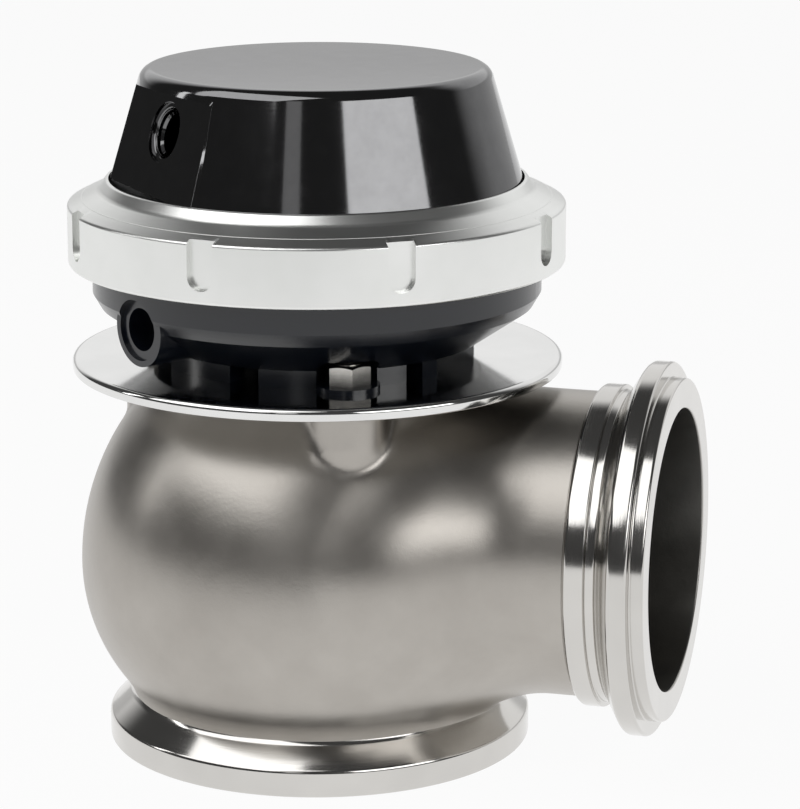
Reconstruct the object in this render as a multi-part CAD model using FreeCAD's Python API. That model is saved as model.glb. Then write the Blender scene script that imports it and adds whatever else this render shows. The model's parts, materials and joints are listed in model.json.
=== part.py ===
"""External wastegate for a turbocharged engine, valve size 60 mm, with V-band inlet and outlet.

Frame: origin at the centre of the inlet flange face, +Z up the valve axis towards the
actuator, +X out of the outlet.  Millimetres.  One STEP file per separate piece in parts/.
"""
import FreeCAD, Part
import math
import os
from FreeCAD import Vector

os.makedirs("parts", exist_ok=True)

# ------------------------------------------------------------------ clearances and fits
press_gap = 0.02          # radial, pressed or screwed pieces that never move
running_gap = 0.05        # radial, valve stem in its guide and seal, collar on its thread
stud_gap = 0.25           # radial, studs through the shield and the lugs
seat_gap = 0.15           # closed valve above its seat
face_gap = 0.1            # flat faces of pieces that turn against each other
turn_gap = 0.4            # radial, cap flange inside the collar
lip_gap = 0.3             # radial, collar lip and slip ring round the cap
edge_break = 0.6          # chamfer on turned edges
cut = 12.0                # how far a cutting tool reaches past the metal

# ------------------------------------------------------------------ valve
seat_bore_r = 28.0
seat_width = 2.0          # radial width of the 45 degree seat
valve_dish = 1.2          # shallow recess under the valve head
valve_dish_land = 4.0
valve_rim = 1.7           # cylindrical margin of the valve head
valve_tulip_h = 14.0      # height of the flare from head to stem
stem_r = 4.5
stem_thread_step = 0.5    # the threaded end is this much thinner in radius
stem_thread_proud = 0.6

# ------------------------------------------------------------------ seat ring
seat_ring_h = 8.0
seat_ring_wall = 3.0
seat_lip_w = 2.5
seat_lip_h = 2.4
seat_stop_w = 1.5         # radial width of the shoulder that stops the pressed ring
seat_stop_gap = 2.0       # height left above the ring

# ------------------------------------------------------------------ inlet flange and valve body (cast)
inlet_neck_wall = 5.0     # metal between the seat ring and the neck
inlet_rim_proud = 4.75    # V-band rim above the neck
inlet_rim_h = 5.2
inlet_taper_h = 4.3       # height of the rim's tapered back
neck_h = 1.3
belly_r = 47.9            # widest radius of the casting and its height
belly_z = 36.5
body_wall = 4.0
deck_z = 76.7             # machined face that carries the shield and the actuator
deck_r = 33.5
deck_band_h = 4.2
roof_t = 9.0              # thickness of the casting under the deck
guide_boss_wall = 4.5
guide_boss_drop = 8.0     # how far the guide boss hangs below the roof
shoulder = 0.5            # small step where the cast skin meets a turned face

# ------------------------------------------------------------------ outlet duct and flange
outlet_z = 43.3
outlet_bore_r = 28.0
outlet_bore_len = 16.0
outlet_step = 1.2         # the duct behind the bore is this much narrower
duct_wall = 3.5
horn_start = 9.0          # the duct widens towards the belly between these two x places
horn_end = 52.0
horn_inset = 2.7          # half width at the belly, less than the belly's radius
outlet_face = 73.7
outlet_lip_wall = 6.0
outlet_lip_h = 2.7
outlet_rim_proud = 3.05   # V-band rim outside the lip
outlet_rim_w = 3.8
outlet_taper_w = 3.6
outlet_groove_wall = 3.0
outlet_groove_w = 1.8
outlet_band_proud = 1.0
outlet_band_w = 4.6

# ------------------------------------------------------------------ studs and nuts, M5
stud_angles = (-63.0, 63.0, 180.0)
stud_circle_r = 32.5
stud_r = 2.5
stud_tip = 0.5
stud_depth = 7.5
stud_hole_spare = 0.5     # hole deeper than the stud
stud_proud = 0.6
boss_wall = 5.5
boss_depth = 15.0
nut_flats = 8.0
nut_h = 4.0

# ------------------------------------------------------------------ shield and gasket
gasket_t = 0.8
gasket_margin = 0.6
shield_r = 49.0
shield_t = 1.5
shield_lip_h = 0.9        # rolled edge that stiffens the rim underneath

# ------------------------------------------------------------------ valve guide and stem seal
guide_wall = 2.45
guide_flange_w = 3.0
guide_flange_t = 2.5
guide_drop = 3.5          # guide below its boss, inside the body
guide_rise = 3.0          # guide above the shield, inside the actuator
seal_wall = 3.45
seal_t = 2.2
seal_skin = 1.0
seal_land = 1.5
retainer_t = 0.8
retainer_gap = 0.8        # radial, retainer round the stem
circlip_t = 0.8
circlip_w = 1.2
circlip_groove = 0.9
circlip_opening = 40.0    # degrees

# ------------------------------------------------------------------ lower housing
foot_h = 3.6              # height of the pillars that hold the bowl off the shield
foot_in_r = 21.0
foot_w = 11.0
lug_t = 1.0
lug_wall = 3.7
nut_pocket_gap = 1.4      # radial, round the nut's corners
nut_pocket_h = 6.0
pillar_angles = ((27.0, 34.0), (41.0, 53.0), (73.0, 94.0), (105.0, 137.0), (163.0, 170.5))
hub_wall = 6.0
hub_rise = 1.0
bowl_taper = 8.2          # radius lost from the chamber to the foot of the bowl
bowl_floor_t = 4.4
bowl_knee = 2.6           # height and width of the bevel below the plain band
bowl_knee_w = 1.5
bowl_slope_h = 9.6        # height from the bottom to the plain band
bowl_h = 23.4
chamber_r = 41.0
chamber_floor_wall = 2.3
chamber_cone_h = 12.0
band_wall = 3.6           # metal outside the chamber at the plain band
thread_wall = 5.5         # and at the threaded rim
thread_len = 7.4
thread_bevel = 0.8
bead_ledge = 2.1          # depth of the diaphragm bead ledge below the rim
bead_wall = 1.7

# ------------------------------------------------------------------ diaphragm and plates
plate_gap = 0.6           # lower plate above the hub at rest
plate_inset = 11.0        # lower plate's rim inside the chamber wall
lower_plate_t = 2.0
plate_bevel = 1.2
diaphragm_t = 1.0
diaphragm_roll = 1.4      # diaphragm wall inside the chamber wall
diaphragm_foot = 1.5
bead_r = 1.4
cup_overhang = 1.0        # upper plate wider than the lower one
upper_plate_t = 2.4
upper_rim_h = 5.0
upper_rim_t = 1.6
step_h = 1.0              # locating steps for the springs
step_w = 1.2
step_gap = 0.3
plate_washer_w = 4.5
plate_washer_t = 1.5
valve_nut_flats = 13.0
valve_nut_h = 6.5

# ------------------------------------------------------------------ springs
outer_coil_r = 21.8
outer_wire_r = 1.8
outer_turns = 3.5
inner_wire_r = 1.4
inner_turns = 4.5
coil_gap = 4.0            # radial, between the two coils
wire_sides = 6            # the round wire is drawn as an even prism

# ------------------------------------------------------------------ cap
cap_step = 4.95           # width of the clamped flange round the cap's base
cap_flange_t = 4.2
cap_h = 30.4              # from the flange's underside to the top
cap_draft = 0.295         # radius lost per millimetre of height
cap_edge_r = 2.4
cap_side_t = 6.4          # side wall; the port flat is milled into its thickness
cap_roof_t = 4.2
cap_mouth_wall = 7.7      # flange metal outside the mouth
cap_mouth_h = 1.5
cap_spigot_r = 8.0
cap_spigot_h = 7.0
cap_spigot_bevel = 1.0

# ------------------------------------------------------------------ locking collar and slip ring
collar_wall = 2.75
collar_skirt = 8.0        # how far the collar reaches down over the bowl's rim
collar_lip_t = 2.0
collar_bevel = 2.2
collar_top_fall = 0.8
collar_edge = 0.4
slip_ring_t = 0.6
slip_ring_w = 3.5
collar_slots = 8
collar_slot_w = 5.4
collar_slot_depth = 1.3
collar_slot_foot = 2.6    # solid height left below each slot
collar_slot_angle = -54.5

# ------------------------------------------------------------------ pressure ports, 1/8 inch pipe thread
cap_port_angle = -134.5
port_r = 4.2
port_spot_r = 6.0
port_spot_depth = 0.7
port_depth = 6.0
port_way_r = 2.0
port_wall = 1.5           # metal round the cap's spot face, inside
cap_port_drop = 10.5      # port centre and ledge of the flat below the cap's top
cap_ledge_drop = 3.5
cap_flat_depth = 4.0
low_port_angle = -125.0
low_port_rise = 2.5       # lower port centre above the bowl's floor
low_port_inset = 1.0
low_port_boss_r = 7.2

# ------------------------------------------------------------------ radii worked out from the above
valve_head_r = seat_bore_r + seat_width
seat_ring_r = valve_head_r + seat_ring_wall
seat_lip_r = seat_ring_r + seat_lip_w
throat_r = seat_ring_r - seat_stop_w
inlet_neck_r = seat_ring_r + inlet_neck_wall
weld_r = inlet_neck_r - shoulder
inlet_rim_r = inlet_neck_r + inlet_rim_proud
stem_thread_r = stem_r - stem_thread_step
plate_hole_r = stem_thread_r + press_gap
guide_bore_r = stem_r + running_gap
guide_r = guide_bore_r + guide_wall
guide_flange_r = guide_r + guide_flange_w
guide_boss_r = guide_r + guide_boss_wall
seal_r = guide_bore_r + seal_wall
hub_r = seal_r + hub_wall
duct_bore_r = outlet_bore_r - outlet_step
duct_r = duct_bore_r + duct_wall
outlet_lip_r = outlet_bore_r + outlet_lip_wall
outlet_rim_r = outlet_lip_r + outlet_rim_proud
outlet_groove_r = outlet_bore_r + outlet_groove_wall
outlet_band_r = outlet_groove_r + outlet_band_proud
stud_hole_r = stud_r + stud_gap
boss_r = stud_r + boss_wall
lug_r = stud_r + lug_wall
nut_pocket_r = nut_flats / math.sqrt(3) + nut_pocket_gap
foot_out_r = foot_in_r + foot_w
thread_r = chamber_r + thread_wall
bowl_band_r = chamber_r + band_wall
bowl_bottom_r = chamber_r - bowl_taper
chamber_floor_r = bowl_bottom_r - chamber_floor_wall
low_port_face_r = bowl_band_r - low_port_inset
lower_plate_r = chamber_r - plate_inset
upper_plate_r = lower_plate_r + cup_overhang
plate_washer_r = plate_hole_r + plate_washer_w
inner_coil_r = outer_coil_r - outer_wire_r - coil_gap - inner_wire_r
cap_flange_r = thread_r - turn_gap
cap_base_r = cap_flange_r - cap_step
cap_mouth_r = cap_flange_r - cap_mouth_wall
collar_bore_r = thread_r + running_gap
collar_lip_r = cap_base_r + lip_gap
collar_r = collar_bore_r + collar_wall

# ------------------------------------------------------------------ heights worked out from the above
valve_face_z = seat_ring_h - seat_width + seat_gap
neck_z = inlet_rim_h + inlet_taper_h
casting_low_z = neck_z + neck_h
casting_high_z = deck_z - deck_band_h
outlet_rim_front = outlet_face - outlet_lip_h
outlet_rim_back = outlet_rim_front - outlet_rim_w
outlet_groove_end = outlet_rim_back - outlet_taper_w
outlet_band_end = outlet_groove_end - outlet_groove_w
outlet_weld_x = outlet_band_end - outlet_band_w
roof_z = deck_z - roof_t
guide_low_z = roof_z - guide_boss_drop - guide_drop
shield_low_z = deck_z + gasket_t
shield_top_z = shield_low_z + shield_t
nut_z = shield_top_z + lug_t
bowl_low_z = shield_top_z + foot_h
floor_z = bowl_low_z + bowl_floor_t
hub_top_z = floor_z + hub_rise
guide_top_z = shield_top_z + guide_rise
seal_z = guide_top_z + face_gap + seal_land
retainer_z = seal_z + seal_t
circlip_z = retainer_z + retainer_t
bowl_band_z = bowl_low_z + bowl_slope_h
bowl_top_z = bowl_low_z + bowl_h
thread_z = bowl_top_z - thread_len
bead_z = bowl_top_z - bead_ledge
lower_plate_z = hub_top_z + plate_gap
diaphragm_z = lower_plate_z + lower_plate_t
upper_plate_z = diaphragm_z + diaphragm_t
spring_seat_z = upper_plate_z + upper_plate_t
valve_nut_z = spring_seat_z + plate_washer_t
stem_top_z = valve_nut_z + valve_nut_h + stem_thread_proud
cap_flange_z = bowl_top_z + face_gap
cap_flange_top_z = cap_flange_z + cap_flange_t
cap_top_z = cap_flange_z + cap_h
cap_roof_z = cap_top_z - cap_roof_t
cap_port_z = cap_top_z - cap_port_drop
cap_ledge_z = cap_top_z - cap_ledge_drop
slip_ring_z = cap_flange_top_z + face_gap
collar_lip_z = slip_ring_z + slip_ring_t
collar_top_z = collar_lip_z + collar_lip_t
collar_low_z = bowl_top_z - collar_skirt
cap_base_z = collar_top_z
low_port_z = floor_z + low_port_rise

AXIS = Vector(0, 0, 1)
ORIGIN = Vector(0, 0, 0)


# ------------------------------------------------------------------ helpers
def outline(*steps):
    """Closed face in the XZ half plane.

    A step is a point (r, z), or two points: the middle and the end of an arc.
    """
    here = Vector(steps[0][0], 0, steps[0][1])
    start = here
    edges = []
    for step in steps[1:]:
        if isinstance(step[0], tuple):
            middle = Vector(step[0][0], 0, step[0][1])
            end = Vector(step[1][0], 0, step[1][1])
            edges.append(Part.Arc(here, middle, end).toShape())
        else:
            end = Vector(step[0], 0, step[1])
            edges.append(Part.makeLine(here, end))
        here = end
    edges.append(Part.makeLine(here, start))
    return Part.Face(Part.Wire(edges))


def turned(*steps):
    """Solid of revolution about the valve axis."""
    return outline(*steps).revolve(ORIGIN, AXIS, 360)


def rod(radius, low, high):
    return Part.makeCylinder(radius, high - low, Vector(0, 0, low), AXIS)


def ring(inner, outer, low, high):
    return rod(outer, low, high).cut(rod(inner, low - 1, high + 1))


def on_outlet(shape):
    """Lay a piece turned about the valve axis onto the outlet axis."""
    laid = shape.copy()
    laid.rotate(ORIGIN, Vector(0, 1, 0), 90)
    laid.translate(Vector(0, 0, outlet_z))
    return laid


def spun(shape, angle):
    turned_copy = shape.copy()
    turned_copy.rotate(ORIGIN, AXIS, angle)
    return turned_copy


def at_studs(shape):
    """One copy of a shape at each stud; the shape is drawn on the valve axis."""
    copies = []
    for angle in stud_angles:
        moved = shape.copy()
        moved.translate(Vector(stud_circle_r, 0, 0))
        copies.append(spun(moved, angle))
    return copies


def sector(inner, outer, low, high, start, end):
    """Part of a ring between two angles in degrees."""
    profile = outline((inner, low), (outer, low), (outer, high), (inner, high))
    return spun(profile.revolve(ORIGIN, AXIS, end - start), start)


def hexagon(flats, low, high):
    """Hexagonal prism with its corners turned off at the top."""
    corner = flats / math.sqrt(3)
    points = [Vector(corner * math.cos(math.radians(60 * k)), corner * math.sin(math.radians(60 * k)), low)
              for k in range(7)]
    prism = Part.Face(Part.makePolygon(points)).extrude(Vector(0, 0, high - low))
    bevel = (corner - flats / 2) * 1.4
    blank = turned((0, low), (corner + 1, low), (corner + 1, high - bevel), (corner - bevel, high), (0, high))
    return prism.common(blank)


def along(radius, start, direction, length):
    return Part.makeCylinder(radius, length, start, direction)


def save(name, shape):
    shape.exportStep("parts/" + name + ".step")


# ------------------------------------------------------------------ valve body
def wall_arc(end_r, end_z):
    """Radius of the casting's arc from its widest point, where it stands upright, to another point."""
    step = belly_r - end_r
    return (step ** 2 + (end_z - belly_z) ** 2) / (2 * step)


low_arc = wall_arc(weld_r, casting_low_z)
high_arc = wall_arc(deck_r - shoulder, casting_high_z)


def belly_radius(z, inset=0.0):
    """Outer radius of the casting at a height, less an inset."""
    arc = low_arc if z < belly_z else high_arc
    return belly_r - arc + math.sqrt((arc - inset) ** 2 - (z - belly_z) ** 2)


def belly_arc(z_from, z_to, inset=0.0):
    """One arc step along the casting wall between two heights on the same side of the belly."""
    middle = (z_from + z_to) / 2
    return ((belly_radius(middle, inset), middle), (belly_radius(z_to, inset), z_to))


def horn(radius, wide):
    """Duct that widens sideways from a round mouth into the belly, as a loft of ellipses."""
    stations = 5
    sections = []
    for k in range(stations):
        share = k / (stations - 1)
        ease = (1 - share) ** 2 * (1 + 2 * share)
        half_width = radius + (wide - radius) * ease
        ellipse = Part.Ellipse(Vector(0, 0, horn_start + (horn_end - horn_start) * share), half_width, radius)
        sections.append(Part.Wire(on_outlet(spun(ellipse.toShape(), 90))))
    return Part.makeLoft(sections, True)


def belly():
    """Outer form of the casting about the valve axis, from the inlet weld to the deck."""
    return turned((0, casting_low_z), (weld_r, casting_low_z),
                  belly_arc(casting_low_z, belly_z), belly_arc(belly_z, casting_high_z),
                  (deck_r, casting_high_z + shoulder), (deck_r, deck_z - edge_break),
                  (deck_r - edge_break, deck_z), (0, deck_z))


def body_cavity():
    """Gas way: chamber above the seat and the duct to the outlet."""
    inner_arc = low_arc - body_wall
    reach = seat_ring_r - belly_r + low_arc
    low_z = belly_z - math.sqrt(inner_arc ** 2 - reach ** 2)
    chamber = turned((0, casting_low_z - 1), (throat_r, casting_low_z - 1), (throat_r, low_z - 1),
                     (seat_ring_r, low_z), belly_arc(low_z, belly_z, body_wall),
                     belly_arc(belly_z, roof_z, body_wall), (0, roof_z))
    duct = horn(duct_bore_r, belly_r - horn_inset - body_wall)
    straight = on_outlet(rod(duct_bore_r, horn_end - 1, outlet_weld_x + 1))
    boss_low = roof_z - guide_boss_drop
    bevel = 2.0
    boss = turned((0, boss_low), (guide_boss_r - bevel, boss_low), (guide_boss_r, boss_low + bevel),
                  (guide_boss_r, roof_z + 1), (0, roof_z + 1))
    return chamber.fuse([duct, straight]).cut(boss)


def valve_body():
    """Cast pot with the duct and the stud bosses; the clamp flanges are welded to its two ends."""
    tube = on_outlet(rod(duct_r, horn_end - 1, outlet_weld_x))
    bosses = at_studs(rod(boss_r, deck_z - boss_depth, deck_z))
    outer = belly().fuse([horn(duct_r, belly_r - horn_inset), tube] + bosses)
    stud_hole = rod(stud_r + press_gap, deck_z - stud_depth - stud_hole_spare, deck_z + 1)
    bores = [rod(guide_r + press_gap, 0, deck_z + 1),
             rod(guide_flange_r + press_gap, deck_z - guide_flange_t, deck_z + 1)]
    return outer.cut(body_cavity()).cut(bores + at_studs(stud_hole))


# ------------------------------------------------------------------ clamp flanges
def inlet_flange():
    """V-band ring with the pocket for the seat ring."""
    pocket_r = seat_ring_r + press_gap
    lip_pocket_r = seat_lip_r + press_gap
    stop_z = seat_ring_h + seat_stop_gap
    return turned((lip_pocket_r, 0), (inlet_rim_r - edge_break, 0), (inlet_rim_r, edge_break),
                  (inlet_rim_r, inlet_rim_h - edge_break), (inlet_rim_r - edge_break, inlet_rim_h),
                  (inlet_neck_r, neck_z), (weld_r, casting_low_z), (throat_r, casting_low_z),
                  (throat_r, stop_z), (pocket_r, stop_z), (pocket_r, seat_lip_h), (lip_pocket_r, seat_lip_h))


def outlet_flange():
    """V-band ring with a plain band and a groove behind the rim, and a lip in front of it."""
    bore_start = outlet_face - outlet_bore_len
    section = turned((duct_bore_r, outlet_weld_x), (duct_r, outlet_weld_x),
                     (outlet_band_r, outlet_weld_x + edge_break), (outlet_band_r, outlet_band_end),
                     (outlet_groove_r, outlet_band_end), (outlet_groove_r, outlet_groove_end),
                     (outlet_rim_r - edge_break, outlet_rim_back),
                     (outlet_rim_r, outlet_rim_back + edge_break),
                     (outlet_rim_r, outlet_rim_front - edge_break),
                     (outlet_rim_r - edge_break, outlet_rim_front), (outlet_lip_r, outlet_rim_front),
                     (outlet_lip_r, outlet_face - edge_break), (outlet_lip_r - edge_break, outlet_face),
                     (outlet_bore_r, outlet_face), (outlet_bore_r, bore_start), (duct_bore_r, bore_start))
    return on_outlet(section)


# ------------------------------------------------------------------ seat, valve, guide
def seat_ring():
    cone_z = seat_ring_h - seat_width
    return turned((seat_bore_r, 0), (seat_lip_r, 0), (seat_lip_r, seat_lip_h), (seat_ring_r, seat_lip_h),
                  (seat_ring_r, seat_ring_h), (valve_head_r, seat_ring_h), (seat_bore_r, cone_z))


def poppet_valve():
    """Valve head with a 45 degree face, flared into the stem; the threaded end carries the plates."""
    face_top = valve_face_z + seat_width
    head_top = face_top + valve_rim
    dish_r = seat_bore_r - valve_dish_land
    flare_r = stem_r + (valve_head_r - stem_r) * 0.24
    flare_z = head_top + valve_tulip_h * 0.32
    return turned((0, valve_face_z + valve_dish), (dish_r - 2, valve_face_z + valve_dish), (dish_r, valve_face_z),
                  (seat_bore_r, valve_face_z), (valve_head_r, face_top), (valve_head_r, head_top),
                  (valve_head_r - 6, head_top + 1), ((flare_r, flare_z), (stem_r, head_top + valve_tulip_h)),
                  (stem_r, lower_plate_z), (stem_thread_r, lower_plate_z),
                  (stem_thread_r, stem_top_z - edge_break), (stem_thread_r - edge_break, stem_top_z),
                  (0, stem_top_z))


def valve_guide():
    flange_low = deck_z - guide_flange_t
    return turned((guide_bore_r + edge_break, guide_low_z), (guide_r - 1, guide_low_z), (guide_r, guide_low_z + 1),
                  (guide_r, flange_low), (guide_flange_r, flange_low), (guide_flange_r, deck_z),
                  (guide_r, deck_z), (guide_r, guide_top_z), (guide_bore_r, guide_top_z),
                  (guide_bore_r, guide_low_z + edge_break))


def stem_seal():
    """Lip seal: outer wall, floor and a raised lip round the stem."""
    outer = seal_r - press_gap
    skin = seal_skin
    return turned((guide_bore_r, seal_z), (outer, seal_z), (outer, retainer_z), (outer - skin, retainer_z),
                  (outer - skin, seal_z + skin), (guide_bore_r + skin, seal_z + skin),
                  (guide_bore_r + skin, retainer_z), (guide_bore_r, retainer_z))


def seal_retainer():
    return ring(stem_r + retainer_gap, seal_r - press_gap, retainer_z, circlip_z)


def circlip():
    """Internal circlip, open on one side, sprung into its groove."""
    return sector(seal_r - circlip_w, seal_r + circlip_groove - press_gap, circlip_z, circlip_z + circlip_t,
                  circlip_opening, 360)


# ------------------------------------------------------------------ shield, gasket, studs
def body_gasket():
    sheet = rod(deck_r - gasket_margin, deck_z, shield_low_z)
    sheet = sheet.fuse(at_studs(rod(boss_r - gasket_margin, deck_z, shield_low_z)))
    sheet = sheet.cut(at_studs(rod(stud_hole_r, deck_z - 1, shield_low_z + 1)))
    return sheet.cut(rod(guide_flange_r - 1, deck_z - 1, shield_low_z + 1)).removeSplitter()


def heat_shield():
    """Polished disc whose rim is rolled down slightly."""
    roll = shield_lip_h
    disc = turned((guide_r + face_gap, shield_low_z), (shield_r - roll - 1, shield_low_z),
                  (shield_r - roll - 0.4, shield_low_z - roll), (shield_r - 0.3, shield_low_z - roll),
                  (shield_r, shield_low_z), (shield_r, shield_top_z - edge_break),
                  (shield_r - edge_break, shield_top_z), (guide_r + face_gap, shield_top_z))
    return disc.cut(at_studs(rod(stud_hole_r, shield_low_z - 1, shield_top_z + 1)))


def housing_studs():
    low = deck_z - stud_depth
    high = nut_z + nut_h + stud_proud
    stud = turned((0, low), (stud_r, low), (stud_r, high - stud_tip), (stud_r - stud_tip, high), (0, high))
    return Part.makeCompound(at_studs(stud))


def housing_nuts():
    nut = hexagon(nut_flats, nut_z, nut_z + nut_h).cut(rod(stud_r + press_gap, nut_z - 1, nut_z + nut_h + 1))
    return Part.makeCompound(at_studs(nut))


# ------------------------------------------------------------------ lower housing
def radial(angle, tilt=0.0):
    """Unit vector pointing out at an angle round the axis, tilted up by some degrees."""
    flat = math.cos(math.radians(tilt))
    return Vector(flat * math.cos(math.radians(angle)), flat * math.sin(math.radians(angle)),
                  math.sin(math.radians(tilt)))


def port_tool(face_point, out, depth, way):
    """Drill for a pipe thread port: spot face, thread bore and the small way behind it."""
    spot = along(port_spot_r, face_point - out * port_spot_depth, out, port_spot_depth + cut)
    bore = along(port_r, face_point - out * (port_spot_depth + depth), out, depth + 1)
    return spot.fuse([bore, along(port_way_r, face_point - out * way, out, way)])


def housing_feet():
    """Pillars and stud lugs between the shield and the bowl."""
    feet = []
    for start, end in pillar_angles:
        feet.append(sector(foot_in_r, foot_out_r, shield_top_z, bowl_low_z + 1, start, end))
        feet.append(sector(foot_in_r, foot_out_r, shield_top_z, bowl_low_z + 1, -end, -start))
    return feet


def lower_housing():
    """Bowl of the actuator: hub, feet, tapered underside, plain band and threaded rim."""
    bowl = turned((0, bowl_low_z), (bowl_bottom_r, bowl_low_z),
                  (bowl_band_r - bowl_knee_w, bowl_band_z - bowl_knee), (bowl_band_r, bowl_band_z),
                  (bowl_band_r, thread_z), (thread_r - thread_bevel, thread_z),
                  (thread_r, thread_z + thread_bevel), (thread_r, bowl_top_z), (0, bowl_top_z))
    boss_out = radial(low_port_angle)
    port_face = boss_out * low_port_face_r + Vector(0, 0, low_port_z)
    boss = along(low_port_boss_r, boss_out * foot_in_r + Vector(0, 0, low_port_z), boss_out,
                 low_port_face_r - foot_in_r)
    bowl = bowl.fuse([rod(hub_r, shield_top_z, bowl_low_z + 1), boss] + housing_feet())
    bowl = bowl.cut(at_studs(rod(nut_pocket_r, shield_top_z - 1, shield_top_z + nut_pocket_h)))
    lugs = [lug.common(ring(foot_in_r, stud_circle_r + lug_r, shield_top_z, nut_z))
            for lug in at_studs(rod(lug_r, shield_top_z, nut_z))]
    bowl = bowl.fuse(lugs)
    ledge_r = thread_r - bead_wall
    chamber = turned((0, floor_z), (chamber_floor_r, floor_z), (chamber_r, floor_z + chamber_cone_h),
                     (chamber_r, bead_z), (ledge_r, bead_z), (ledge_r, bowl_top_z + 1), (0, bowl_top_z + 1))
    boss_in = rod(seal_r + hub_wall / 2, floor_z - 1, hub_top_z)
    bowl = bowl.cut(chamber.cut(boss_in))
    drillings = [rod(guide_r + press_gap, shield_top_z - 1, guide_top_z + face_gap),
                 rod(stem_r + retainer_gap, shield_top_z - 1, hub_top_z + 1),
                 rod(seal_r, seal_z, hub_top_z + 1),
                 rod(seal_r + circlip_groove, circlip_z, circlip_z + circlip_t),
                 port_tool(port_face, boss_out, port_depth, low_port_face_r - chamber_floor_r)]
    drillings += at_studs(rod(stud_hole_r, shield_top_z - 1, nut_z + 1))
    return bowl.cut(drillings).removeSplitter()


# ------------------------------------------------------------------ diaphragm and plates
def diaphragm():
    """Moulded dish: bead in the housing rim, hanging wall, flat centre between the plates."""
    t = diaphragm_t
    wall_r = chamber_r - diaphragm_roll
    bead_out = thread_r - bead_wall - face_gap
    bead_in = bead_out - 2 * bead_r
    web_z = bead_z + (bead_ledge - t) / 2
    foot_r = lower_plate_r + diaphragm_foot
    return turned((plate_hole_r, diaphragm_z), (foot_r, diaphragm_z), (wall_r, web_z - 3 * t), (wall_r + t, web_z),
                  (bead_in, web_z), (bead_in, bead_z), (bead_out, bead_z), (bead_out, bowl_top_z),
                  (bead_in, bowl_top_z), (bead_in, web_z + t), (wall_r - 0.2 * t, web_z + t),
                  (foot_r - 0.8 * t, diaphragm_z + t), (plate_hole_r, diaphragm_z + t))


def lower_plate():
    return turned((plate_hole_r, lower_plate_z), (lower_plate_r - plate_bevel, lower_plate_z),
                  (lower_plate_r, lower_plate_z + plate_bevel), (lower_plate_r, diaphragm_z),
                  (plate_hole_r, diaphragm_z))


def upper_plate():
    """Spring cup: flat floor with a locating step for each spring and a raised outer rim."""
    rim_in = upper_plate_r - upper_rim_t
    rim_z = spring_seat_z + upper_rim_h
    outer_step = outer_coil_r + outer_wire_r + step_gap
    inner_step = inner_coil_r - inner_wire_r - step_gap
    cup = turned((plate_hole_r, upper_plate_z), (upper_plate_r - plate_bevel, upper_plate_z),
                 (upper_plate_r, upper_plate_z + plate_bevel), (upper_plate_r, rim_z), (rim_in, rim_z),
                 (rim_in, spring_seat_z), (plate_hole_r, spring_seat_z))
    steps = [ring(outer_step, outer_step + step_w, spring_seat_z, spring_seat_z + step_h),
             ring(inner_step - step_w, inner_step, spring_seat_z, spring_seat_z + step_h)]
    return cup.fuse(steps).removeSplitter()


def plate_washer():
    return ring(plate_hole_r, plate_washer_r, spring_seat_z, valve_nut_z)


def valve_nut():
    top = valve_nut_z + valve_nut_h
    return hexagon(valve_nut_flats, valve_nut_z, top).cut(rod(plate_hole_r, valve_nut_z - 1, top + 1))


# ------------------------------------------------------------------ springs
def coil_spring(coil_r, wire_r, turns):
    """Round wire coil between the spring cup and the cap roof."""
    low = spring_seat_z + wire_r + face_gap
    high = cap_roof_z - wire_r - face_gap
    path = Part.makeHelix((high - low) / turns, high - low, coil_r)
    path.translate(Vector(0, 0, low))
    corners = [math.radians(360 * (k + 0.5) / wire_sides) for k in range(wire_sides + 1)]
    section = Part.makePolygon([Vector(coil_r + wire_r * math.cos(a), 0, low + wire_r * math.sin(a))
                                for a in corners])
    return Part.Wire(path.Edges).makePipeShell([section], True, True)


def outer_spring():
    return coil_spring(outer_coil_r, outer_wire_r, outer_turns)


def inner_spring():
    return coil_spring(inner_coil_r, inner_wire_r, inner_turns)


# ------------------------------------------------------------------ cap
def cap_radius(z):
    return cap_base_r - cap_draft * (z - cap_base_z)


def cap_flat_frame():
    """Point on the port flat and the direction it faces."""
    slope = math.degrees(math.atan(cap_draft))
    out = radial(cap_port_angle, slope)
    point = radial(cap_port_angle) * (cap_radius(cap_port_z) - cap_flat_depth) + Vector(0, 0, cap_port_z)
    return point, out


def cap_flat_cutter():
    """Milled flat parallel to the cap's side, ending in a ledge below the top edge."""
    point, out = cap_flat_frame()
    slope = math.atan(cap_draft)
    up_slope = (AXIS - out * out.z).normalize()
    across = out.cross(up_slope) * cap_base_r
    top = point + up_slope * ((cap_ledge_z - cap_port_z) / math.cos(slope))
    low = point - up_slope * ((cap_port_z - cap_base_z) / math.cos(slope))
    sheet = Part.Face(Part.makePolygon([low - across, low + across, top + across, top - across, low - across]))
    return sheet.extrude(out * cut)


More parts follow.
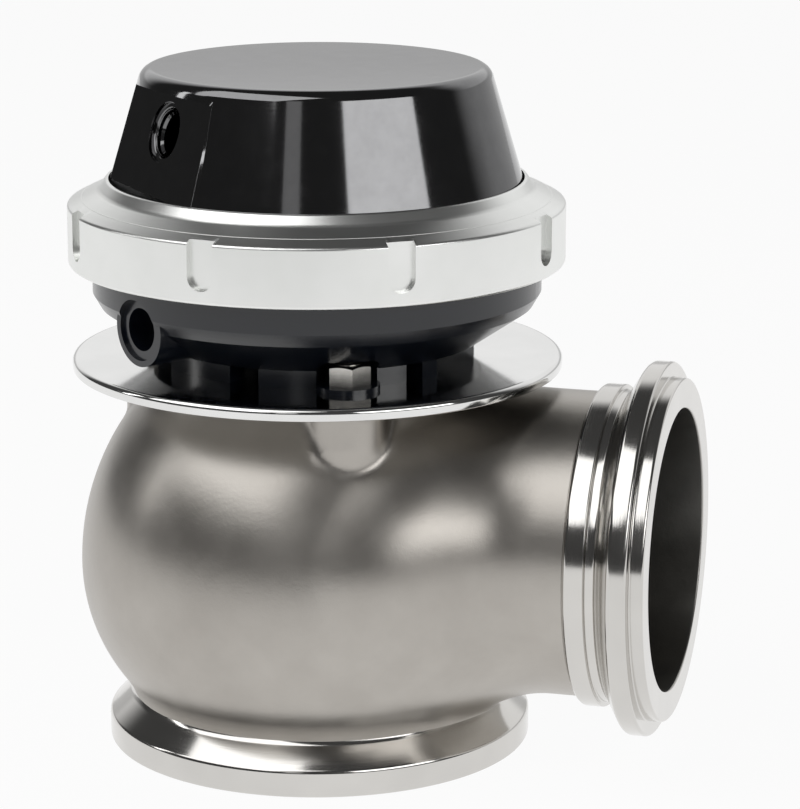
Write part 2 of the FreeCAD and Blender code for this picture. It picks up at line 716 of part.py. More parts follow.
def actuator_cap():
    """Tapered cap with clamped flange, rounded top edge, port flat and inner spring spigot."""
    edge_z = cap_top_z - cap_edge_r
    edge_r = cap_radius(edge_z)
    bend = cap_edge_r * (1 - math.sqrt(0.5))
    inner_base_r = cap_base_r - cap_side_t
    spigot_z = cap_roof_z - cap_spigot_h
    outer = turned((0, cap_flange_z), (cap_flange_r, cap_flange_z), (cap_flange_r, cap_flange_top_z),
                   (cap_base_r, cap_flange_top_z), (cap_base_r, cap_base_z), (edge_r, edge_z),
                   ((edge_r - bend, cap_top_z - bend), (edge_r - cap_edge_r, cap_top_z)), (0, cap_top_z))
    hollow = turned((0, cap_flange_z - 1), (cap_mouth_r, cap_flange_z - 1),
                    (cap_mouth_r, cap_flange_z + cap_mouth_h), (inner_base_r, cap_base_z),
                    (cap_radius(cap_roof_z) - cap_side_t, cap_roof_z), (0, cap_roof_z))
    spigot = turned((0, spigot_z), (cap_spigot_r - cap_spigot_bevel, spigot_z),
                    (cap_spigot_r, spigot_z + cap_spigot_bevel), (cap_spigot_r, cap_roof_z + 1),
                    (0, cap_roof_z + 1))
    point, out = cap_flat_frame()
    pad_depth = port_spot_depth + port_depth
    spring_room = rod(outer_coil_r + outer_wire_r + step_gap * 2, cap_flange_z, cap_top_z)
    pad = along(port_spot_r + port_wall, point - out * pad_depth, out, pad_depth).common(outer)
    cap = outer.cut(hollow.cut(spigot)).fuse(pad.cut(spring_room)).cut(cap_flat_cutter())
    return cap.cut(port_tool(point, out, port_depth, pad_depth + cap_side_t)).removeSplitter()


# ------------------------------------------------------------------ collar and slip ring
def slip_ring():
    return ring(collar_lip_r, collar_lip_r + slip_ring_w, slip_ring_z, collar_lip_z)


def locking_collar():
    """Castellated ring nut: screws onto the bowl and clamps the cap flange under its lip."""
    shoulder_z = collar_top_z - collar_top_fall
    lead = thread_bevel
    blank = turned((collar_bore_r + lead, collar_low_z), (collar_r - edge_break, collar_low_z),
                   (collar_r, collar_low_z + edge_break), (collar_r, shoulder_z - collar_bevel),
                   (collar_r - collar_bevel, shoulder_z), (collar_lip_r + collar_edge, collar_top_z),
                   (collar_lip_r, collar_top_z - collar_edge), (collar_lip_r, collar_lip_z),
                   (collar_bore_r, collar_lip_z), (collar_bore_r, collar_low_z + lead))
    foot_z = collar_low_z + collar_slot_foot + collar_slot_w / 2
    out = Vector(1, 0, 0)
    start = out * (collar_r - collar_slot_depth) + AXIS * foot_z
    round_end = along(collar_slot_w / 2, start, out, cut)
    channel = Part.makeBox(cut, collar_slot_w, collar_top_z - foot_z + 1,
                           start - Vector(0, collar_slot_w / 2, 0))
    slot = round_end.fuse(channel)
    step = 360 / collar_slots
    return blank.cut([spun(slot, collar_slot_angle + step * k) for k in range(collar_slots)])


# ------------------------------------------------------------------ build
pieces = (valve_body, inlet_flange, outlet_flange, seat_ring, poppet_valve, valve_guide, stem_seal,
          seal_retainer, circlip, body_gasket, heat_shield, housing_studs, housing_nuts, lower_housing,
          diaphragm, lower_plate, upper_plate, plate_washer, valve_nut, outer_spring, inner_spring,
          actuator_cap, slip_ring, locking_collar)
for make in pieces:
    save(make.__name__, make())
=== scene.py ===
# %% [markdown]
# # Turbo wastegate
#
# A wastegate is a valve that lets exhaust gas pass round a turbocharger. This one has a cast
# steel body with a clamp flange below and another at the side, a polished heat shield, and on
# top a diaphragm actuator: a black bowl, a bright screw collar and a black cap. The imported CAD
# model gives the frame, and each cell below dresses one piece of it.

# %% Load the frame
import json
import math

import bmesh
import bpy
import numpy as np
from mathutils import Matrix, Vector


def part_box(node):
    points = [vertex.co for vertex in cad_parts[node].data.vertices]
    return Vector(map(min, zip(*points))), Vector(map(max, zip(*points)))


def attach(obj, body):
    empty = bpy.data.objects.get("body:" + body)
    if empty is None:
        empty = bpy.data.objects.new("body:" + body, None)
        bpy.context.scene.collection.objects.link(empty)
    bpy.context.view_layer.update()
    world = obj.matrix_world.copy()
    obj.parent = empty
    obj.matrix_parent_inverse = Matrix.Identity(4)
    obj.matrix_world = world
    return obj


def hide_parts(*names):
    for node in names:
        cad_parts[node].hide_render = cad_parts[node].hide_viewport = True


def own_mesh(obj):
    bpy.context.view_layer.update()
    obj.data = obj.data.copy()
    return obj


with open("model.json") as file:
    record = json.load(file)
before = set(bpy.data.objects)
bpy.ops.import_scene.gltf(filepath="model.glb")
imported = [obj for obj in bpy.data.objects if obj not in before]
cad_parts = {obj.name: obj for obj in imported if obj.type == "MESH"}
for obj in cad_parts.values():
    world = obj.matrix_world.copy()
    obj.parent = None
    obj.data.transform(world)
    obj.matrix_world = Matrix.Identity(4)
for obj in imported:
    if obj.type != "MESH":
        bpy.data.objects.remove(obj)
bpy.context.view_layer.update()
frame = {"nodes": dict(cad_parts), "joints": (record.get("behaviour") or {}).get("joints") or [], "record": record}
nodes = frame["nodes"]
MM = 0.001


def span(node, axis):
    """Lowest and highest place of a CAD node along X, Y or Z, in millimetres."""
    return tuple(round(corner["XYZ".index(axis)] / MM, 3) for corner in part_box(node))


# %% [markdown]
# The camera stands a little above the part, turned so that the outlet points to the right and
# slightly towards the viewer. A long lens keeps the flanges nearly round and parallel.

# %% Camera
CAMERA_PLACE = Vector((195.08, -642.22, 235.30)) * MM
CAMERA_AIM = Vector((15.844, 4.392, 67.896)) * MM
CAMERA_LENS = 153.2

camera = bpy.data.objects.new("camera", bpy.data.cameras.new("camera"))
camera.data.lens = CAMERA_LENS
camera.data.sensor_width = 36.0
camera.data.clip_start = 0.01
camera.location = CAMERA_PLACE
camera.rotation_euler = (CAMERA_AIM - CAMERA_PLACE).to_track_quat("-Z", "Y").to_euler()
bpy.context.scene.collection.objects.link(camera)
bpy.context.scene.camera = camera
bpy.context.scene.view_settings.view_transform = "Standard"
print("camera", tuple(round(v, 3) for v in CAMERA_PLACE))


# %% [markdown]
# Materials are written as arithmetic. A Shade wraps one output socket, and adding or
# multiplying two of them adds the Math node that does it, so a finish reads like a formula.

# %% Shader arithmetic
class Shade:
    """One output socket that can be used in sums and products."""

    def __init__(self, tree, socket):
        self.tree = tree
        self.socket = socket

    def _math(self, operation, *inputs):
        return self.tree.node("ShaderNodeMath", {"operation": operation}, dict(enumerate(inputs)))

    def __add__(self, other):
        return self._math("ADD", self, other)

    def __mul__(self, other):
        return self._math("MULTIPLY", self, other)

    __radd__ = __add__
    __rmul__ = __mul__

    def clamped(self, low, high):
        """The value, mapped from low..high onto 0..1 and held there."""
        return self.tree.node("ShaderNodeMapRange", {"clamp": True}, {"Value": self, 1: low, 2: high})

    def root(self):
        return self._math("SQRT", self)

    def output(self, name):
        """Another output of the same node."""
        return Shade(self.tree, self.socket.node.outputs[name])


class NodeTree:
    """The nodes of a material or a world, with one method that adds any node."""

    def __init__(self, tree):
        self.nodes = tree.nodes
        self.links = tree.links

    def feed(self, socket, value):
        if isinstance(value, Shade):
            self.links.new(value.socket, socket)
        else:
            socket.default_value = value

    def node(self, kind, settings=None, inputs=None, out=0):
        added = self.nodes.new(kind)
        for name, value in (settings or {}).items():
            setattr(added, name, value)
        for key, value in (inputs or {}).items():
            self.feed(added.inputs[key], value)
        return Shade(self, added.outputs[out])


class Finish(NodeTree):
    """A material under construction."""

    def __init__(self, name, **sockets):
        self.material = bpy.data.materials.new(name)
        self.material.use_nodes = True
        super().__init__(self.material.node_tree)
        self.shader = self.nodes["Principled BSDF"]
        self.set(**sockets)
        self.place = self.node("ShaderNodeTexCoord", out="Object")

    def mapped(self, move):
        """Object coordinates, moved."""
        return self.node("ShaderNodeMapping", None, {"Vector": self.place, "Location": move})

    def noise(self, scale, detail=3.0, roughness=0.55, vector=None):
        return self.node("ShaderNodeTexNoise", None,
                         {"Vector": vector or self.place, "Scale": scale, "Detail": detail,
                          "Roughness": roughness}, "Fac")

    def mix(self, factor, first, second):
        """A colour between two others."""
        return self.node("ShaderNodeMix", {"data_type": "RGBA"}, {0: factor, 6: first, 7: second}, 2)

    def set(self, **sockets):
        for socket, value in sockets.items():
            self.feed(self.shader.inputs[socket.replace("_", " ")], value)

    def bump(self, height, strength, distance):
        """Fine relief from a height value, in metres."""
        normal = self.node("ShaderNodeBump", None,
                           {"Strength": strength, "Distance": distance, "Height": height})
        self.set(Normal=normal)


def rgb(red, green, blue):
    return (red, green, blue, 1.0)


def toned(colour, share):
    """The same colour, darker or lighter."""
    return tuple(value * share for value in colour[:3]) + (1.0,)


finishes = {}

# %% [markdown]
# Most surfaces here came off a lathe, which leaves very fine rings round the turning axis. The
# distance from that axis runs through a stretched noise: it varies quickly along the radius or
# along the axis and not at all round the circle, and the result nudges roughness and relief.

# %% Lathe marks
def lathe_marks(finish, centre, axis, pitch=0.00035):
    """Noise that is constant round an axis: X or Z, through a centre."""
    away = finish.mapped(tuple(-value for value in centre))
    split = finish.node("ShaderNodeSeparateXYZ", None, {0: away})
    parts = {name: split.output(name) for name in "XYZ"}
    along = parts.pop(axis)
    first, second = parts.values()
    radius = (first * first + second * second).root()
    position = finish.node("ShaderNodeCombineXYZ", None, {"X": radius, "Y": along, "Z": 0.0})
    return finish.noise(1.0 / pitch, 2.0, 0.6, position)


# %% [markdown]
# The body is an investment casting in stainless steel, blasted to an even satin. Up close the
# skin has a fine grain, and larger soft clouds of tone where the blasting was heavier. Noise at
# three scales makes these: the finest drives a bump, the others shift colour and roughness. The
# gas side is the same skin in a darker tone: inside the casting heat tints it, and on the heat
# shield's underside the darker tone is painted shade.

# %% Cast steel
VALVE_AXIS = (0.0, 0.0, 0.0)
outlet_bore = next(mount for mount in frame["record"]["mounts"] if mount["name"] == "outlet_bore")
OUTLET_CENTRE = (0.0, 0.0, outlet_bore["pos_m"][2])


def cast_steel(name, dark, light, roughness):
    finish = Finish(name, Metallic=1.0)
    clouds = finish.noise(28.0, 2.0)
    patches = finish.noise(120.0, 3.0)
    grain = finish.noise(1400.0, 3.0, 0.7)
    tone = clouds * 0.6 + patches * 0.4
    finish.set(Base_Color=finish.mix(tone.clamped(0.3, 0.7), dark, light),
               Roughness=roughness + patches * 0.08 + grain * 0.05)
    finish.bump(grain, strength=0.22, distance=0.00010)
    return finish.material


finishes["cast"] = cast_steel("cast_steel", rgb(0.40, 0.375, 0.345), rgb(0.50, 0.475, 0.44), 0.27)
# darker skin: heat tint inside the casting, painted shade on the shield's underside
finishes["gas_side_and_shade"] = cast_steel("gas_side_and_shade", rgb(0.27, 0.265, 0.25), rgb(0.38, 0.37, 0.35), 0.26)
print("cast skins made", len(finishes))

# %% [markdown]
# The two clamp flanges are turned after casting, so they are bright and show lathe rings. The
# valve and its seat are turned too, and the heat shield is polished to a mirror.

# %% Turned steel
FLANGE_STEEL = rgb(0.66, 0.645, 0.62)


def turned_steel(name, centre, axis, colour=FLANGE_STEEL, roughness=0.07):
    finish = Finish(name, Metallic=1.0)
    rings = lathe_marks(finish, centre, axis)
    smudge = finish.noise(60.0, 2.0)
    finish.set(Base_Color=finish.mix(smudge.clamped(0.3, 0.7), toned(colour, 0.92), colour),
               Roughness=roughness + rings * 0.08 + smudge * 0.03)
    finish.bump(rings, strength=0.10, distance=0.00004)
    return finish.material


finishes["inlet_turned"] = turned_steel("inlet_turned", VALVE_AXIS, "Z")
finishes["outlet_turned"] = turned_steel("outlet_turned", OUTLET_CENTRE, "X")
finishes["shield"] = turned_steel("shield_polish", VALVE_AXIS, "Z", rgb(0.80, 0.80, 0.79), 0.03)
finishes["valve"] = turned_steel("valve_steel", VALVE_AXIS, "Z", rgb(0.55, 0.54, 0.52), 0.22)
print("with turned steel", len(finishes))

# %% [markdown]
# The cap and the bowl are black anodised aluminium: a hard clear oxide with black dye in it.
# The bowl is bead blasted first, so it is nearly black under a thin gloss. The cap is polished
# first and stays a dark metal mirror: it is black wherever the room is black. The turned rings
# only show at the edge of a reflection.

# %% Black anodised aluminium
def black_anodised(name, colour, roughness, metal, rings_share):
    finish = Finish(name, Metallic=metal, IOR=1.6)
    rings = lathe_marks(finish, VALVE_AXIS, "Z", 0.0005)
    dust = finish.noise(240.0, 4.0, 0.65)
    finish.set(Base_Color=finish.mix(dust.clamped(0.35, 0.8), colour, toned(colour, 1.15)),
               Roughness=roughness + rings * rings_share + dust.clamped(0.5, 0.9) * 0.04)
    finish.bump(rings, strength=0.05, distance=0.00003)
    return finish.material


finishes["cap"] = black_anodised("cap_black", rgb(0.165, 0.165, 0.168), 0.06, 1.0, 0.04)
finishes["bowl"] = black_anodised("bowl_black", rgb(0.005, 0.007, 0.012), 0.18, 0.0, 0.05)
print("with black aluminium", len(finishes))

# %% [markdown]
# The collar is bare aluminium, machined and lightly polished. The diaphragm's plates are the
# same metal, left duller.

# %% Bright aluminium
DULL_ALUMINIUM = rgb(0.80, 0.81, 0.79)
CLEAN_ALUMINIUM = rgb(0.90, 0.905, 0.89)


def bright_aluminium(name, roughness):
    finish = Finish(name, Metallic=1.0)
    rings = lathe_marks(finish, VALVE_AXIS, "Z")
    smudge = finish.noise(45.0, 3.0)
    finish.set(Base_Color=finish.mix(smudge.clamped(0.3, 0.75), DULL_ALUMINIUM, CLEAN_ALUMINIUM),
               Roughness=roughness + rings * 0.08 + smudge * 0.05)
    finish.bump(rings, strength=0.10, distance=0.00003)
    return finish.material


finishes["collar"] = bright_aluminium("collar_aluminium", 0.24)
finishes["plates"] = bright_aluminium("plate_aluminium", 0.34)
print("with bright aluminium", len(finishes))

# %% [markdown]
# Plated fasteners, bronze, rubber, paint and graphite are small or hidden, so one grain at the
# right scale does for each. Metals get a fine grain, and soft materials a coarser relief that
# breaks up their highlights.

# %% Simple finishes
def plain_metal(name, colour, roughness):
    finish = Finish(name, Metallic=1.0)
    grain = finish.noise(500.0, 3.0)
    finish.set(Base_Color=finish.mix(grain.clamped(0.3, 0.7), toned(colour, 0.85), colour),
               Roughness=roughness + grain * 0.10)
    finish.bump(grain, strength=0.10, distance=0.00003)
    return finish.material


def soft_solid(name, colour, roughness):
    finish = Finish(name)
    grain = finish.noise(700.0, 3.0)
    finish.set(Base_Color=finish.mix(grain.clamped(0.3, 0.7), toned(colour, 0.8), colour),
               Roughness=roughness + grain * 0.12)
    finish.bump(grain, strength=0.25, distance=0.00006)
    return finish.material


finishes["plated"] = plain_metal("zinc_plate", rgb(0.72, 0.70, 0.66), 0.20)
finishes["bronze"] = plain_metal("guide_bronze", rgb(0.55, 0.38, 0.18), 0.30)
finishes["spring"] = soft_solid("spring_paint", rgb(0.03, 0.07, 0.16), 0.35)
finishes["rubber"] = soft_solid("seal_rubber", rgb(0.02, 0.02, 0.02), 0.60)
finishes["diaphragm"] = soft_solid("diaphragm_rubber", rgb(0.28, 0.05, 0.035), 0.62)
finishes["graphite"] = soft_solid("gasket_graphite", rgb(0.07, 0.07, 0.07), 0.70)
finishes["slip"] = soft_solid("slip_plastic", rgb(0.70, 0.68, 0.62), 0.45)
print("with the small pieces", len(finishes))

# %% [markdown]
# Each CAD node gets its finish by name here, so the hidden pieces are dressed too. A finish is
# made once and shared, which keeps every piece of one material alike.

# %% Finishes of the nodes
node_finish = {
    "valve_body": "cast", "inlet_flange": "inlet_turned", "outlet_flange": "outlet_turned",
    "seat_ring": "valve", "poppet_valve": "valve", "valve_guide": "bronze",
    "stem_seal": "rubber", "seal_retainer": "plated", "circlip": "plated", "body_gasket": "graphite",
    "heat_shield": "shield", "housing_studs": "plated", "housing_nuts": "plated",
    "lower_housing": "bowl", "diaphragm": "diaphragm", "lower_plate": "plates",
    "upper_plate": "plates", "plate_washer": "plated", "valve_nut": "plated",
    "outer_spring": "spring", "inner_spring": "spring", "actuator_cap": "cap",
    "slip_ring": "slip", "locking_collar": "collar",
}
for name, finish_name in node_finish.items():
    slots = nodes[name].data.materials
    slots.clear()
    slots.append(finishes[finish_name])
print("nodes with a finish", len(node_finish))


# %% [markdown]
# Nearly every piece of this part is turned. A turned piece is half of its section, drawn as a
# few corners in millimetres, and spun round the axis. A corner may carry a third number, the
# radius it is rounded to: a vertex bevel rounds it before the spin, so each edge catches a thin
# line of light, as a real broken edge does.

# %% Turned pieces
ROUND_STEPS = 4          # faces across a rounded corner
TURN_STEPS = 160         # faces round a turned piece
SHINY_STEPS = 192        # and round one whose edge draws a long line of light
ROUGH_STEPS = 96         # hidden pieces, cutters and posts need fewer
TOOL_STEPS = 64
POST_STEPS = 32
MERGE = 1e-7             # vertices nearer than this are one, in metres


def turned(section, steps=TURN_STEPS, axis="Z", height=0.0):
    """Spin a section of (radius, place along the axis, rounding) corners, in millimetres."""
    bm = bmesh.new()
    corners = [bm.verts.new((corner[0] * MM, 0.0, corner[1] * MM)) for corner in section]
    pairs = list(zip(corners, corners[1:]))
    if section[0][0] > 0 or section[-1][0] > 0:
        pairs.append((corners[-1], corners[0]))
    for pair in pairs:
        bm.edges.new(pair)
    for vert, corner in zip(corners, section):
        if len(corner) > 2:
            bmesh.ops.bevel(bm, geom=[vert], offset=corner[2] * MM, offset_type="OFFSET",
                            segments=ROUND_STEPS, profile=0.5, affect="VERTICES", material=-1)
    bmesh.ops.spin(bm, geom=bm.verts[:] + bm.edges[:], cent=(0, 0, 0), axis=(0, 0, 1),
                   angle=math.tau, steps=steps, use_merge=True, use_duplicate=False)
    bmesh.ops.remove_doubles(bm, verts=bm.verts, dist=MERGE)
    bmesh.ops.recalc_face_normals(bm, faces=bm.faces)
    if axis == "X":
        on_its_side = Matrix.Rotation(math.radians(90), 3, "Y")
        bmesh.ops.rotate(bm, verts=bm.verts, cent=(0, 0, 0), matrix=on_its_side)
    bmesh.ops.translate(bm, verts=bm.verts, vec=(0, 0, height * MM))
    return bm


# %% [markdown]
# A mesh becomes an object with its finish. Modifiers are applied at once, so the mesh is final
# when the frame takes it over. Weighted normals keep the large faces evenly lit up to their
# rounded edges, as on a real turned surface.

# %% From mesh to piece
BROKEN_EDGE = 0.25
SHARP_ANGLE = math.radians(40.0)     # an edge this sharp is broken by a bevel
CREASE_ANGLE = math.radians(35.0)    # an edge this sharp isn't shaded smooth


def as_object(name, bm, finish=None):
    mesh = bpy.data.meshes.new(name)
    bm.to_mesh(mesh)
    bm.free()
    if finish:
        mesh.materials.append(finishes[finish])
    made = bpy.data.objects.new(name, mesh)
    bpy.context.scene.collection.objects.link(made)
    return made


def apply_modifiers(made):
    """Replace the object's mesh with what its modifiers make of it."""
    bpy.context.view_layer.update()
    final = bpy.data.meshes.new_from_object(made.evaluated_get(bpy.context.evaluated_depsgraph_get()))
    made.modifiers.clear()
    made.data = final


def cut_away(made, *tools, overlapping=False):
    """Boolean difference with each tool, which is then deleted; overlapping says its forms cross."""
    for tool in tools:
        step = made.modifiers.new("cut", "BOOLEAN")
        step.operation = "DIFFERENCE"
        step.solver = "EXACT"
        step.use_self = overlapping
        step.object = tool
        apply_modifiers(made)
        bpy.data.objects.remove(tool)


def break_edges(made):
    """A small bevel on the edges that a cut left sharp."""
    step = made.modifiers.new("edges", "BEVEL")
    step.width = BROKEN_EDGE * MM
    step.segments = 2
    step.limit_method = "ANGLE"
    step.angle_limit = SHARP_ANGLE
    step.use_clamp_overlap = True
    apply_modifiers(made)


def gas_side_and_shade(made, inside_face):
    """Give the darker skin to the chosen faces: heat tint in the bore, painted shade under the shield."""
    made.data.materials.append(finishes["gas_side_and_shade"])
    for face in made.data.polygons:
        if inside_face(face):
            face.material_index = 1


def dress(made, body, slot, *stands_for):
    """Shade smooth except at real corners, flat on the large faces, hang it on its body and hide the CAD nodes it
    stands for.
    """
    made.data.polygons.foreach_set("use_smooth", [True] * len(made.data.polygons))
    made.data.set_sharp_from_angle(angle=CREASE_ANGLE)
    weighted = made.modifiers.new("weighted", "WEIGHTED_NORMAL")
    weighted.weight = 100
    weighted.keep_sharp = True
    apply_modifiers(made)
    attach(made, body)
    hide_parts(*stands_for)
    made.data.calc_loop_triangles()
    print(made.name, "triangles", len(made.data.loop_triangles))


# %% [markdown]
# The casting is a swollen pot with a duct growing out of its side, and everything blends: the
# duct into the belly, the stud bosses into the shoulder, the belly into the neck. Modelling that
# with bevels would fight the topology. Instead each form is written as a distance, the distances
# are joined with a soft minimum, and a voxel remesh of the rough shapes is pulled onto the
# result. The same sums with a wall thickness taken off give the inside.

# %% Distances of the casting
BELLY_R = 47.9           # the belly at its widest
BELLY_Z = 36.5
LOW_ARC = 36.97          # radii of the belly's outline below and above its widest place
HIGH_ARC = 51.04
DECK_R = 33.5
DECK_Z = span("valve_body", "Z")[1]
DECK_FOOT_Z = 60.0       # below this the deck's post fades into the belly
NECK_R = 37.4
NECK_TOP_Z = 13.0
OUTLET_Z = OUTLET_CENTRE[2] / MM
DUCT_R = 30.3
HORN_X = (9.0, 52.0)     # the duct narrows from the belly's width to its own between these
HORN_HALF_WIDTH = 45.2
WALL = 4.0
DUCT_WALL = 3.5
ROOF_Z = 67.7
THROAT_R = 31.5
THROAT_TOP_Z = 14.0
STUD_CIRCLE = 32.5
STUD_ANGLES = (-63.0, 63.0, 180.0)
BOSS_R = 8.0
BOSS_Z = 69.0            # where a boss's round foot starts
BOSS_REACH = 5.0         # above the deck, which cuts it off
BOSS_BLEND = 2.2         # widths of the fillets
NECK_BLEND = 3.0
DUCT_BLEND = (0.3, 9.0)  # where the duct starts, and what it has gained after its reach
DUCT_BLEND_REACH = 24.0


def soft_min(first, second, blend):
    """The smaller of two distances, rounded off where they are nearly equal."""
    share = np.clip(0.5 + 0.5 * (second - first) / blend, 0.0, 1.0)
    return second + (first - second) * share - blend * share * (1.0 - share)


def belly_distance(p, wall):
    """The turned pot: a lower and an upper arc that meet at its widest place."""
    radius = np.hypot(p[:, 0], p[:, 1])
    arc = np.where(p[:, 2] < BELLY_Z, LOW_ARC, HIGH_ARC)
    return np.hypot(radius - (BELLY_R - arc), p[:, 2] - BELLY_Z) - arc + wall


def duct_half_width(x):
    """Half the duct's width, eased from the belly's to its own."""
    share = np.clip((x - HORN_X[0]) / (HORN_X[1] - HORN_X[0]), 0.0, 1.0)
    ease = (1.0 - share) ** 2 * (1.0 + 2.0 * share)
    return DUCT_R + (HORN_HALF_WIDTH - DUCT_R) * ease


def duct_distance(p, wall):
    """An elliptic duct that is as wide as the belly where it leaves it and round at its mouth."""
    half_width = duct_half_width(p[:, 0]) - wall
    half_height = DUCT_R - wall
    out = (np.hypot(p[:, 1] / half_width, (p[:, 2] - OUTLET_Z) / half_height) - 1.0) * half_height
    return np.maximum(out, HORN_X[0] - p[:, 0])


def post_distance(p, x, y, radius, low, high):
    """An upright post with a round lower end."""
    below = np.minimum(p[:, 2] - low, 0.0)
    side = np.hypot(p[:, 0] - x, p[:, 1] - y)
    return np.maximum(np.hypot(side, below) - radius, p[:, 2] - high)


def duct_blend(p):
    """Width of the fillet between duct and belly, which grows from nothing along the duct."""
    share = np.clip((p[:, 0] - HORN_X[0]) / DUCT_BLEND_REACH, 0.0, 1.0)
    return DUCT_BLEND[0] + DUCT_BLEND[1] * share * share * (3.0 - 2.0 * share)


def stud_places():
    return [(STUD_CIRCLE * math.cos(math.radians(a)), STUD_CIRCLE * math.sin(math.radians(a)))
            for a in STUD_ANGLES]


def outside(p):
    """Distance of the cast skin; the deck cuts it off flat."""
    skin = soft_min(belly_distance(p, 0.0), duct_distance(p, 0.0), duct_blend(p))
    for x, y in stud_places():
        skin = soft_min(skin, post_distance(p, x, y, BOSS_R, BOSS_Z, DECK_Z + BOSS_REACH), BOSS_BLEND)
    radius = np.hypot(p[:, 0], p[:, 1])
    skin = soft_min(skin, radius - DECK_R + np.maximum(DECK_FOOT_Z - p[:, 2], 0.0), NECK_BLEND)
    skin = soft_min(skin, radius - NECK_R + np.maximum(p[:, 2] - NECK_TOP_Z, 0.0), NECK_BLEND)
    return np.maximum(skin, p[:, 2] - DECK_Z)


def inside(p):
    """Distance of the gas way: chamber, duct and throat."""
    chamber = np.maximum(belly_distance(p, WALL), p[:, 2] - ROOF_Z)
    throat = np.hypot(p[:, 0], p[:, 1]) - THROAT_R + np.maximum(p[:, 2] - THROAT_TOP_Z, 0.0)
    return soft_min(soft_min(chamber, duct_distance(p, DUCT_WALL), duct_blend(p)), throat, NECK_BLEND)


print("casting", DECK_Z, "high, outlet at", OUTLET_Z)

# %% [markdown]
# The rough forms only have to be near the real ones and closed. A voxel remesh joins them into
# one even skin, and then every vertex slides along the slope of the distance until it lies on
# the true surface.

# %% Pulling a mesh onto a distance
PROBE = 0.02             # step over which a slope is measured
PULL = 0.8               # share of the way taken in one round
LEAST_SLOPE = 0.25       # squared, so that no vertex shoots off where the distance is flat


def pull_onto(mesh, distance, rounds):
    """Move every vertex along the distance's slope until the distance is zero."""
    flat = np.empty(len(mesh.vertices) * 3)
    mesh.vertices.foreach_get("co", flat)
    p = flat.reshape(-1, 3) / MM
    for _ in range(rounds):
        here = distance(p)
        slope = np.stack([(distance(p + PROBE * axis) - distance(p - PROBE * axis)) / (2 * PROBE)
                          for axis in np.eye(3)], axis=1)
        steep = np.maximum((slope ** 2).sum(axis=1), LEAST_SLOPE)
        p -= slope * (PULL * here / steep)[:, None]
    mesh.vertices.foreach_set("co", (p * MM).ravel())
    mesh.update()


# %% [markdown]
# The rough belly is turned from a few points of its outline, and the rough duct is a row of
# ellipses bridged into a tube. Both reach past the ends of the casting, which are cut flat
# later.

# %% Rough forms
ROUGH_LOW = 5.0
ROUGH_END = 64.0
BELLY_ROWS = 14
DUCT_STATIONS = 8


def loft(stations):
    """Closed tube through (x, half width, half height) ellipses round the outlet axis."""
    bm = bmesh.new()
    rings = []
    for x, half_width, half_height in stations:
        place = (Matrix.Translation((x * MM, 0.0, OUTLET_Z * MM))
                 @ Matrix.Rotation(math.radians(90), 4, "Y")
                 @ Matrix.Diagonal((half_height * MM, half_width * MM, 1.0, 1.0)))
        ring = bmesh.ops.create_circle(bm, cap_ends=False, segments=TOOL_STEPS, radius=1.0, matrix=place)
        rings.append({edge for vert in ring["verts"] for edge in vert.link_edges})
    for first, second in zip(rings, rings[1:]):
        bmesh.ops.bridge_loops(bm, edges=list(first | second))
    bmesh.ops.holes_fill(bm, edges=[edge for edge in bm.edges if edge.is_boundary], sides=0)
    bmesh.ops.recalc_face_normals(bm, faces=bm.faces)
    return bm


def rough_casting(wall, duct_wall, high, neck):
    """Belly and duct as crude closed forms, ready for the voxel remesh."""
    rows = []
    for z in np.linspace(ROUGH_LOW + 4.0, high - 3.0, BELLY_ROWS):
        arc = LOW_ARC if z < BELLY_Z else HIGH_ARC
        rows.append((BELLY_R - arc + math.sqrt((arc - wall) ** 2 - (z - BELLY_Z) ** 2), z))
    foot = [(0.0, ROUGH_LOW), (neck, ROUGH_LOW), (neck, ROUGH_LOW + 3.9)]
    pot = turned(foot + rows + [(rows[-1][0], high), (0.0, high)], ROUGH_STEPS)
    stations = [(x, duct_half_width(x) - duct_wall, DUCT_R - duct_wall)
                for x in np.linspace(HORN_X[0], HORN_X[1], DUCT_STATIONS)]
    stations.append((ROUGH_END, DUCT_R - duct_wall, DUCT_R - duct_wall))
    tube = as_object("tube", loft(stations))
    return [as_object("pot", pot), tube]


# %% [markdown]
# A voxel remesh leaves small steps, so the skin is pulled onto its distance twice, with a little
# smoothing between that evens out the grid.

# %% Even skins
SMOOTHINGS = 2


def voxel_skin(name, rough, distance, voxel):
    """Join rough forms, remesh them evenly and pull the result onto the distance."""
    bm = bmesh.new()
    for piece in rough:
        bm.from_mesh(piece.data)
        bpy.data.objects.remove(piece)
    skin = as_object(name, bm)
    step = skin.modifiers.new("remesh", "REMESH")
    step.mode = "VOXEL"
    step.voxel_size = voxel * MM
    apply_modifiers(skin)
    pull_onto(skin.data, distance, 6)
    bm = bmesh.new()
    bm.from_mesh(skin.data)
    for _ in range(SMOOTHINGS):
        bmesh.ops.smooth_vert(bm, verts=bm.verts, factor=0.5, use_axis_x=True, use_axis_y=True,
                              use_axis_z=True)
    bm.to_mesh(skin.data)
    bm.free()
    pull_onto(skin.data, distance, 3)
    return skin


# %% [markdown]
# The casting is an outer skin and an inner one turned inside out. Both are cut off where the
# flanges take over, the walls are closed there, and the hole for the valve guide is drilled
# through the roof.

# %% Casting
CASTING_LOW = 8.3        # where the neck and the duct end inside the turned flanges
CASTING_END = 60.0
OUTER_VOXEL = 1.2
INNER_VOXEL = 1.4
GUIDE_R = 7.05           # way for the valve guide, and the pocket for the guide's flange
GUIDE_FLANGE_R = 10.05
GUIDE_FLANGE_Z = 74.2
GUIDE_WAY = (50.0, 80.0)     # the drill reaches past both faces of the roof


